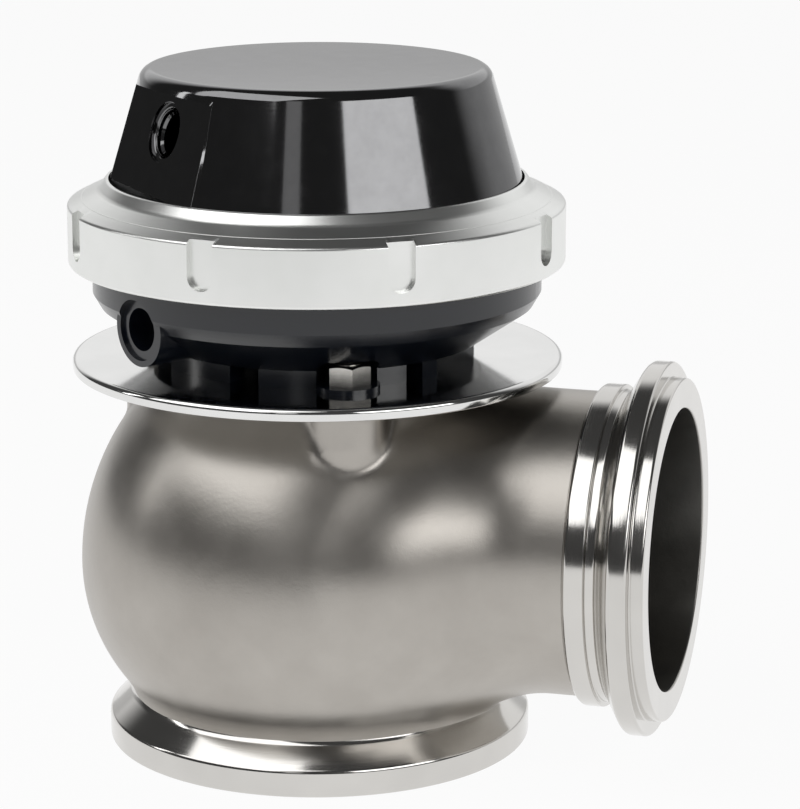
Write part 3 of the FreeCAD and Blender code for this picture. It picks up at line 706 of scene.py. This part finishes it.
def open_end(bm, point, normal):
    """Cut both skins at a plane and close the wall between them."""
    cut = bmesh.ops.bisect_plane(bm, geom=bm.verts[:] + bm.edges[:] + bm.faces[:], dist=MERGE,
                                 plane_co=Vector(point) * MM, plane_no=normal, clear_outer=True)
    rim = [item for item in cut["geom_cut"] if isinstance(item, bmesh.types.BMEdge)]
    bmesh.ops.bridge_loops(bm, edges=[edge for edge in rim if edge.is_boundary])


def rough_posts():
    section = [(0.0, BOSS_Z - 6.0), (BOSS_R, BOSS_Z), (BOSS_R, DECK_Z), (0.0, DECK_Z)]
    posts = [as_object("post", turned(section, POST_STEPS)) for _ in STUD_ANGLES]
    for post, (x, y) in zip(posts, stud_places()):
        post.data.transform(Matrix.Translation((x * MM, y * MM, 0.0)))
    return posts


def make_casting():
    outer_forms = rough_casting(0.0, 0.0, DECK_Z, NECK_R) + rough_posts()
    outer = voxel_skin("outer_skin", outer_forms, outside, OUTER_VOXEL)
    inner_forms = rough_casting(WALL, DUCT_WALL, ROOF_Z, THROAT_R)
    inner = voxel_skin("inner_skin", inner_forms, inside, INNER_VOXEL)
    inner.data.flip_normals()
    for face in inner.data.polygons:
        face.material_index = 1
    bm = bmesh.new()
    for skin in (outer, inner):
        bm.from_mesh(skin.data)
        bpy.data.objects.remove(skin)
    open_end(bm, (0.0, 0.0, CASTING_LOW), (0, 0, -1))
    open_end(bm, (CASTING_END, 0.0, 0.0), (1, 0, 0))
    casting = as_object("body_casting", bm, "cast")
    casting.data.materials.append(finishes["gas_side_and_shade"])
    low, high = GUIDE_WAY
    way = turned([(0.0, low), (GUIDE_R, low), (GUIDE_R, GUIDE_FLANGE_Z),
                  (GUIDE_FLANGE_R, GUIDE_FLANGE_Z), (GUIDE_FLANGE_R, high), (0.0, high)], TOOL_STEPS)
    cut_away(casting, as_object("guide_way", way))
    dress(casting, "housing", "cast_stainless", "valve_body")


make_casting()

# %% [markdown]
# Inside the roof hangs a boss that carries the valve guide. It can be seen through the outlet.

# %% Guide boss
GUIDE_BOSS_R = (10.8, 11.8)          # at its foot and at the roof
GUIDE_BOSS_Z = (59.7, ROOF_Z + 0.8)  # sunk a little into the roof
boss = as_object("guide_boss", turned(
    [(GUIDE_R, GUIDE_BOSS_Z[0]), (GUIDE_BOSS_R[0], GUIDE_BOSS_Z[0], 1.6),
     (GUIDE_BOSS_R[1], GUIDE_BOSS_Z[1]), (GUIDE_R, GUIDE_BOSS_Z[1])], ROUGH_STEPS), "gas_side_and_shade")
dress(boss, "housing", "cast_stainless", "valve_body")

# %% [markdown]
# The clamp flanges have a wedge-shaped rim that a V-band pulls together. The inlet one is the
# simpler: rim, wedge and a pocket for the seat ring.

# %% Inlet clamp flange
INLET_RIM_R = span("inlet_flange", "X")[1]
INLET_RIM_Z = 5.2        # top of the rim's edge
INLET_WEDGE = (38.0, 9.5)    # where the wedge runs out, as radius and height
INLET_BACK = (37.5, 11.2)
SEAT_R = 33.05           # pocket for the seat ring, with a wider mouth below
SEAT_MOUTH_R = 35.55
SEAT_MOUTH_Z = 2.45
inlet_ring = as_object("inlet_clamp_ring", turned(
    [(SEAT_MOUTH_R, 0.0, 0.3), (INLET_RIM_R, 0.0, 0.5), (INLET_RIM_R, INLET_RIM_Z, 0.5),
     INLET_WEDGE + (0.8,), INLET_BACK + (0.3,), (SEAT_R, INLET_BACK[1]), (SEAT_R, SEAT_MOUTH_Z),
     (SEAT_MOUTH_R, SEAT_MOUTH_Z)]), "inlet_turned")
dress(inlet_ring, "housing", "machined_stainless", "inlet_flange")

# %% [markdown]
# The outlet flange also has a plain band and a groove behind the rim, and a spigot lip in front
# that centres the mating flange. It is turned lying on its side, and its bore is darkened.

# %% Outlet clamp flange
OUTLET_BACK_X, OUTLET_FACE_X = span("outlet_flange", "X")
OUTLET_RIM_R = span("outlet_flange", "Y")[1]
OUTLET_BACK_R = 30.6
OUTLET_BORE_R = 28.0
BORE_END_X = 57.7        # behind this the ring fits round the duct's own bore
BAND_R = 32.0
BAND_X = (57.9, 61.8)
GROOVE_R = 31.0
GROOVE_END_X = 63.6
OUTLET_RIM_X = (67.3, 71.0)
LIP_R = 34.0
outlet_ring = as_object("outlet_clamp_ring", turned(
    [(DUCT_R - DUCT_WALL, OUTLET_BACK_X), (OUTLET_BACK_R, OUTLET_BACK_X), (BAND_R, BAND_X[0], 0.5),
     (BAND_R, BAND_X[1], 0.35), (GROOVE_R, BAND_X[1], 0.3), (GROOVE_R, GROOVE_END_X, 0.4),
     (OUTLET_RIM_R, OUTLET_RIM_X[0], 0.6), (OUTLET_RIM_R, OUTLET_RIM_X[1], 0.6),
     (LIP_R, OUTLET_RIM_X[1], 0.3), (LIP_R, OUTLET_FACE_X, 0.5), (OUTLET_BORE_R, OUTLET_FACE_X, 0.4),
     (OUTLET_BORE_R, BORE_END_X, 0.2), (DUCT_R - DUCT_WALL, BORE_END_X)],
    axis="X", height=OUTLET_Z), "outlet_turned")
BORE_MARGIN = 0.1        # faces this near the bore count as its own
gas_side_and_shade(outlet_ring, lambda face: math.hypot(face.center.y, face.center.z - OUTLET_Z * MM)
         < (OUTLET_BORE_R + BORE_MARGIN) * MM)
dress(outlet_ring, "housing", "machined_stainless", "outlet_flange")

# %% [markdown]
# The heat shield is a mirror-polished disc. Its edge is rolled down a little for stiffness. Its
# underside is dull and darker, which is painted shade: the belly below reflects it as a dark sheet.

# %% Heat shield
SHIELD_LIP_Z, SHIELD_TOP_Z = span("heat_shield", "Z")
SHIELD_R = span("heat_shield", "X")[1]
SHIELD_HOLE_R = 7.1
SHIELD_SHEET = 1.5
SHIELD_LOW_Z = SHIELD_TOP_Z - SHIELD_SHEET
FACES_DOWN = -0.9        # a normal's Z below which a face counts as the underside
shield = as_object("shield_disc", turned(
    [(SHIELD_HOLE_R, SHIELD_LOW_Z), (SHIELD_R - 1.8, SHIELD_LOW_Z, 0.4),
     (SHIELD_R - 1.3, SHIELD_LIP_Z, 0.3), (SHIELD_R - 0.2, SHIELD_LIP_Z, 0.3),
     (SHIELD_R, SHIELD_TOP_Z, 1.1), (SHIELD_HOLE_R, SHIELD_TOP_Z)], steps=SHINY_STEPS), "shield")
# painted shade: the underside takes the darker skin so that the belly under it looks shaded
gas_side_and_shade(shield, lambda face: face.normal.z < FACES_DOWN)
dress(shield, "housing", "polished_shield", "heat_shield")

# %% [markdown]
# The cap is turned from bar: a tapered cup with a rounded top edge, and a flange at its foot that
# the collar holds down.

# %% Cap blank
CAP_BASE = (41.15, 113.0)
CAP_DRAFT = 0.295        # radius lost for each millimetre of height
CAP_FLANGE_LOW, CAP_TOP = span("actuator_cap", "Z")
CAP_FLANGE_TOP = 110.3
CAP_FLANGE_R = 46.1
CAP_MOUTH_R = 38.4
CAP_ROOF_Z = 132.3
CAP_SIDE_WALL = 6.4


def cap_radius(z):
    return CAP_BASE[0] - CAP_DRAFT * (z - CAP_BASE[1])


def cap_blank():
    """The cup as it leaves the lathe."""
    inner_foot = (CAP_BASE[0] - CAP_SIDE_WALL, CAP_BASE[1])
    inner_top = (cap_radius(CAP_ROOF_Z) - CAP_SIDE_WALL, CAP_ROOF_Z, 1.0)
    return as_object("cap_shell", turned(
        [(0.0, CAP_TOP), (cap_radius(CAP_TOP), CAP_TOP, 1.9), CAP_BASE + (0.3,),
         (CAP_BASE[0], CAP_FLANGE_TOP), (CAP_FLANGE_R, CAP_FLANGE_TOP, 0.3),
         (CAP_FLANGE_R, CAP_FLANGE_LOW, 0.3), (CAP_MOUTH_R, CAP_FLANGE_LOW, 0.3),
         (CAP_MOUTH_R, CAP_FLANGE_LOW + 1.5), inner_foot, inner_top, (0.0, CAP_ROOF_Z)],
        steps=SHINY_STEPS), "cap")


print("cap from", CAP_FLANGE_LOW, "to", CAP_TOP)

# %% [markdown]
# A flat is milled on one side of the cap, square to the pressure port. The port's cutter is
# turned as one tool: a spot face, a hole whose wall zigzags like a thread, and a thin drill that
# breaks through. Rings in place of a spiral look the same at this size.

# %% Cap with its flat and port
PORT_ANGLE = -134.5
PORT_Z = 126.0
PORT_R = 4.2
PORT_DEPTH = 6.7
SPOT_FACE_R = 6.0
SPOT_FACE_DEPTH = 0.7
CHAMFER = (0.9, 1.4)     # how far the hole's chamfer widens it, and how deep it starts
DRILL_R = 2.0
DRILL_LENGTH = 8.0
TOOL_REACH = 9.0         # outside the flat
THREAD_PITCH = 0.94
THREAD_HEIGHT = 0.45
THREAD_END = 0.6         # plain length at the bottom of the hole
FLAT_DEPTH = 4.0
FLAT_TOOL = (60.0, 16.0)     # width and thickness of the block that is milled off
LEDGE_Z = 133.0          # the flat ends here, below the top edge


def port_cutter(point, out):
    """Spot face, threaded hole and the small way behind it, as one tool that points outwards."""
    bottom = -PORT_DEPTH
    outline = [(0.0, bottom - DRILL_LENGTH), (DRILL_R, bottom - DRILL_LENGTH), (DRILL_R, bottom)]
    for k in range(int(PORT_DEPTH / THREAD_PITCH) - 1):
        z = bottom + THREAD_END + k * THREAD_PITCH
        outline += [(PORT_R, z), (PORT_R + THREAD_HEIGHT, z + THREAD_PITCH / 2)]
    outline += [(PORT_R, -CHAMFER[1]), (PORT_R + CHAMFER[0], -SPOT_FACE_DEPTH),
                (SPOT_FACE_R, -SPOT_FACE_DEPTH), (SPOT_FACE_R, TOOL_REACH), (0.0, TOOL_REACH)]
    tool = as_object("port_tool", turned(outline, TOOL_STEPS))
    aimed = out.to_track_quat("Z", "Y").to_matrix().to_4x4()
    tool.data.transform(Matrix.Translation(point * MM) @ aimed)
    return tool


def flat_cutter(point, out):
    """A block that lies on the flat, from the cap's foot to the ledge."""
    slope = math.atan(CAP_DRAFT)
    width, thickness = FLAT_TOOL
    up = (Vector((0, 0, 1)) - out * out.z).normalized()
    across = up.cross(out)
    top = point + up * ((LEDGE_Z - PORT_Z) / math.cos(slope))
    low = point - up * ((PORT_Z - CAP_BASE[1]) / math.cos(slope))
    bm = bmesh.new()
    bmesh.ops.create_cube(bm, size=1.0)
    middle = (top + low) / 2 + out * (thickness / 2)
    axes = Matrix((across * width, up * (top - low).length, out * thickness)).transposed().to_4x4()
    place = Matrix.Scale(MM, 4) @ Matrix.Translation(middle) @ axes
    bmesh.ops.transform(bm, matrix=place, verts=bm.verts)
    bmesh.ops.recalc_face_normals(bm, faces=bm.faces)
    return as_object("flat_tool", bm)


def make_cap():
    turn = math.radians(PORT_ANGLE)
    slope = math.atan(CAP_DRAFT)
    side = Vector((math.cos(turn), math.sin(turn), 0.0))
    out = (side * math.cos(slope) + Vector((0, 0, math.sin(slope)))).normalized()
    point = side * (cap_radius(PORT_Z) - FLAT_DEPTH) + Vector((0, 0, PORT_Z))
    cap = cap_blank()
    cut_away(cap, flat_cutter(point, out), port_cutter(point, out))
    break_edges(cap)
    dress(cap, "cap", "black_anodised", "actuator_cap")


make_cap()

# %% [markdown]
# The collar is a ring nut with eight slots for a hooked spanner. The slots are cut from a turned
# blank, and their edges are broken so that they shine.

# %% Locking collar
COLLAR_R = span("locking_collar", "X")[1]
COLLAR_LOW, COLLAR_TOP = span("locking_collar", "Z")
COLLAR_THREAD_R = 46.55
COLLAR_THREAD_TOP = COLLAR_TOP - 2.0
COLLAR_HOLE_R = 41.45
COLLAR_EDGE_Z = 109.6    # where the side ends and the sloping top starts
COLLAR_SHOULDER_R = 43.1
COLLAR_LIP_R = (41.1, 41.6)
LIP_RISE = 1.6           # steep inner lip that closes on the cap's foot
SLOTS = 8
SLOT_WIDTH = 5.4
SLOT_DEPTH = 1.3
SLOT_FOOT = 2.6          # metal left below each slot
SLOT_ANGLE = -54.5
SLOT_TOOL = 8.0          # radial length of the cutter
SLOT_REACH = 1.0         # how far it stands out above the collar


def slot_tool():
    """All eight slots as one tool: a round-ended bar at each place."""
    bm = bmesh.new()
    foot = COLLAR_LOW + SLOT_FOOT + SLOT_WIDTH / 2
    for k in range(SLOTS):
        turn = Matrix.Rotation(math.radians(SLOT_ANGLE + 360.0 / SLOTS * k), 4, "Z")
        middle = (COLLAR_R - SLOT_DEPTH + SLOT_TOOL / 2) * MM
        height = (COLLAR_TOP + SLOT_REACH - foot) * MM
        bar = (turn @ Matrix.Translation((middle, 0.0, foot * MM + height / 2))
               @ Matrix.Diagonal((SLOT_TOOL * MM, SLOT_WIDTH * MM, height, 1.0)))
        bmesh.ops.create_cube(bm, size=1.0, matrix=bar)
        end = (turn @ Matrix.Translation((middle, 0.0, foot * MM))
               @ Matrix.Rotation(math.radians(90), 4, "Y"))
        bmesh.ops.create_cone(bm, cap_ends=True, segments=32, radius1=SLOT_WIDTH / 2 * MM,
                              radius2=SLOT_WIDTH / 2 * MM, depth=SLOT_TOOL * MM, matrix=end)
    return as_object("slots", bm)


def make_collar():
    lip_top = COLLAR_TOP + LIP_RISE
    collar = as_object("collar_ring", turned(
        [(COLLAR_THREAD_R, COLLAR_LOW, 0.4), (COLLAR_R, COLLAR_LOW, 0.6),
         (COLLAR_R, COLLAR_EDGE_Z, 0.4), (COLLAR_SHOULDER_R, COLLAR_TOP - 0.4, 0.5),
         (COLLAR_LIP_R[1], lip_top, 0.3), (COLLAR_LIP_R[0], lip_top),
         (COLLAR_HOLE_R, COLLAR_THREAD_TOP), (COLLAR_THREAD_R, COLLAR_THREAD_TOP)],
        steps=SHINY_STEPS), "collar")
    cut_away(collar, slot_tool(), overlapping=True)
    break_edges(collar)
    dress(collar, "housing", "bright_aluminium", "locking_collar")


make_collar()

# %% [markdown]
# Two coil springs push the valve shut, and the diaphragm rolls as the valve lifts. A coil is a
# circle of wire, spun round the axis while it climbs a little at each step.

# %% Springs and diaphragm
SPRING_LOW, SPRING_HIGH = span("outer_spring", "Z")
valve_lift = next(joint for joint in frame["joints"] if joint["name"] == "valve_lift")
LIFT = valve_lift["range_m"][1] / MM
COIL_STEPS = 48          # for one turn of wire
WIRE_STEPS = 16          # round the wire
CAD_MERGE = 1e-6         # a CAD mesh is loose triangles, whose corners are joined first


def coil(name, coil_r, wire_r, turns, node):
    """Round wire wound from the upper plate to the cap's roof."""
    bm = bmesh.new()
    start = (Matrix.Translation((coil_r * MM, 0.0, (SPRING_LOW + wire_r) * MM))
             @ Matrix.Rotation(math.radians(90), 4, "X"))
    circle = bmesh.ops.create_circle(bm, cap_ends=False, segments=WIRE_STEPS, radius=wire_r * MM,
                                     matrix=start)
    ring = circle["verts"]
    steps = int(turns * COIL_STEPS)
    climb = (SPRING_HIGH - SPRING_LOW - 2 * wire_r) * MM / steps
    edges = list({edge for vert in ring for edge in vert.link_edges})
    bmesh.ops.contextual_create(bm, geom=edges)
    spun = bmesh.ops.spin(bm, geom=ring + edges, cent=(0, 0, 0), axis=(0, 0, 1), dvec=(0, 0, climb),
                          angle=math.tau * turns, steps=steps, use_duplicate=False)
    last = [item for item in spun["geom_last"] if isinstance(item, bmesh.types.BMEdge)]
    bmesh.ops.contextual_create(bm, geom=last)
    bmesh.ops.recalc_face_normals(bm, faces=bm.faces)
    piece = as_object(name, bm, "spring")
    dress(piece, "housing", "spring_steel", node)
    squash_to(piece, SPRING_LOW, SPRING_HIGH)


def squash_to(piece, low, high):
    """Give a piece a mesh of its own; the share of its length that would stay is worked out but not used."""
    keep = 1.0 - LIFT / (high - low)
    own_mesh(piece)


def make_diaphragm():
    bm = bmesh.new()
    bm.from_mesh(nodes["diaphragm"].data)
    bmesh.ops.remove_doubles(bm, verts=bm.verts, dist=CAD_MERGE)
    dish = as_object("diaphragm_dish", bm, "diaphragm")
    dress(dish, "housing", "diaphragm_rubber", "diaphragm")
    squash_to(dish, *span("diaphragm", "Z"))


coil("outer_coil", coil_r=21.56, wire_r=1.8, turns=3.5, node="outer_spring")
coil("inner_coil", coil_r=14.41, wire_r=1.4, turns=4.5, node="inner_spring")
make_diaphragm()

# %% [markdown]
# The part stands on white paper. The paper and the far wall are plain white to the camera and
# in reflections, and the paper still takes a soft shadow. The studio behind the camera is dim,
# which is what makes black metal look black.

# %% Floor
PAPER_GLOW = 0.94        # share of its own white
PAPER_SIZE = 6.0         # metres each way
PAPER_DROP = 0.1         # below the flange's face, so that the two don't share a plane


def paper():
    """Diffuse paper that adds its own white for camera and mirror rays."""
    finish = Finish("floor_paper", Base_Color=rgb(0.88, 0.88, 0.88), Roughness=0.9)
    path = finish.node("ShaderNodeLightPath", out="Is Camera Ray")
    seen = (path + path.output("Is Glossy Ray")).clamped(0.0, 1.0)
    glow = finish.node("ShaderNodeEmission", None, {"Color": rgb(1.0, 1.0, 1.0), "Strength": 1.0})
    diffuse = Shade(finish, finish.shader.outputs[0])
    both = finish.node("ShaderNodeMixShader", None, {0: seen * PAPER_GLOW, 1: diffuse, 2: glow})
    finish.links.new(both.socket, finish.nodes["Material Output"].inputs[0])
    return finish.material


def make_floor():
    bm = bmesh.new()
    bmesh.ops.create_grid(bm, x_segments=1, y_segments=1, size=PAPER_SIZE / 2,
                          matrix=Matrix.Translation((0.0, 0.0, -PAPER_DROP * MM)))
    mesh = bpy.data.meshes.new("floor")
    bm.to_mesh(mesh)
    bm.free()
    mesh.materials.append(paper())
    floor = bpy.data.objects.new("floor", mesh)
    bpy.context.scene.collection.objects.link(floor)
    print("floor", PAPER_SIZE, "metres wide")


make_floor()

# %% [markdown]
# The world is the rest of the studio, seen only in reflections: a white wall behind the part,
# a little dimmer at the horizon, that ends under a dark ceiling, and a dark room elsewhere. The
# camera itself sees plain white in every direction.

# %% World
WALL_GLOW = 0.95        # brightness of the wall behind the part
STUDIO_GLOW = 0.055     # brightness of the room behind the camera and overhead


def light_world():
    world = bpy.data.worlds.new("studio")
    world.use_nodes = True
    bpy.context.scene.world = world
    sky = NodeTree(world.node_tree)
    direction = sky.node("ShaderNodeTexCoord", out="Generated")
    towards = sky.node("ShaderNodeSeparateXYZ", None, {0: direction})
    camera_ray = sky.node("ShaderNodeLightPath", out="Is Camera Ray")

    def fade(axis, start, end, low, high):
        """From low to high while the direction along an axis goes from start to end."""
        return sky.node("ShaderNodeMapRange", {"interpolation_type": "SMOOTHSTEP"},
                        {"Value": towards.output(axis), "From Min": start, "From Max": end,
                         "To Min": low, "To Max": high})

    behind = fade("Y", 0.40, 0.75, 0.0, WALL_GLOW - STUDIO_GLOW)
    below_ceiling = fade("Z", 0.62, 0.80, 1.0, 0.0)
    horizon = fade("Z", 0.13, 0.22, 0.6, 1.0)
    wall = behind * (below_ceiling * horizon) + STUDIO_GLOW
    seen = sky.node("ShaderNodeMix", None, {"Factor": camera_ray, "A": wall, "B": 1.0})
    background = sky.nodes["Background"]
    sky.feed(background.inputs["Strength"], seen)
    sky.feed(background.inputs["Color"], rgb(1.0, 1.0, 1.0))
    print("world", world.name, "with", len(sky.nodes), "nodes")


light_world()

# %% [markdown]
# Four soft boxes. The right one draws the broad streak on the cap, the front strip the faint one
# beside it, the left one lies high enough to miss the cap's side and lights the shoulders of the
# casting and the flanges, and the side strip edges the left outline. A lamp is set by how bright
# it looks, and its power follows from its area.

# %% Lamps
AIM = Vector((0.0, 0.0, 0.07))


def soft_box(name, azimuth, elevation, distance, width, height, radiance):
    """A rectangular lamp that faces the part: degrees from +X and above the floor, and metres."""
    turn, lift = math.radians(azimuth), math.radians(elevation)
    away = Vector((math.cos(turn) * math.cos(lift), math.sin(turn) * math.cos(lift), math.sin(lift)))
    lamp = bpy.data.lights.new(name, "AREA")
    lamp.shape = "RECTANGLE"
    lamp.size = width
    lamp.size_y = height
    lamp.energy = radiance * math.pi * width * height
    holder = bpy.data.objects.new(name, lamp)
    holder.location = AIM + away * distance
    holder.rotation_euler = (-away).to_track_quat("-Z", "Y").to_euler()
    bpy.context.scene.collection.objects.link(holder)


soft_box("right_box", azimuth=-32.0, elevation=21.5, distance=0.9,
         width=0.72, height=0.32, radiance=2.5)
soft_box("front_strip", azimuth=-87.5, elevation=21.0, distance=1.1,
         width=0.17, height=0.40, radiance=0.5)
soft_box("left_box", azimuth=-130.0, elevation=52.0, distance=1.0,
         width=1.10, height=0.84, radiance=1.8)
soft_box("side_strip", azimuth=-170.0, elevation=20.0, distance=1.0,
         width=0.10, height=0.40, radiance=3.0)
print("lamps", [lamp.name for lamp in bpy.data.lights])
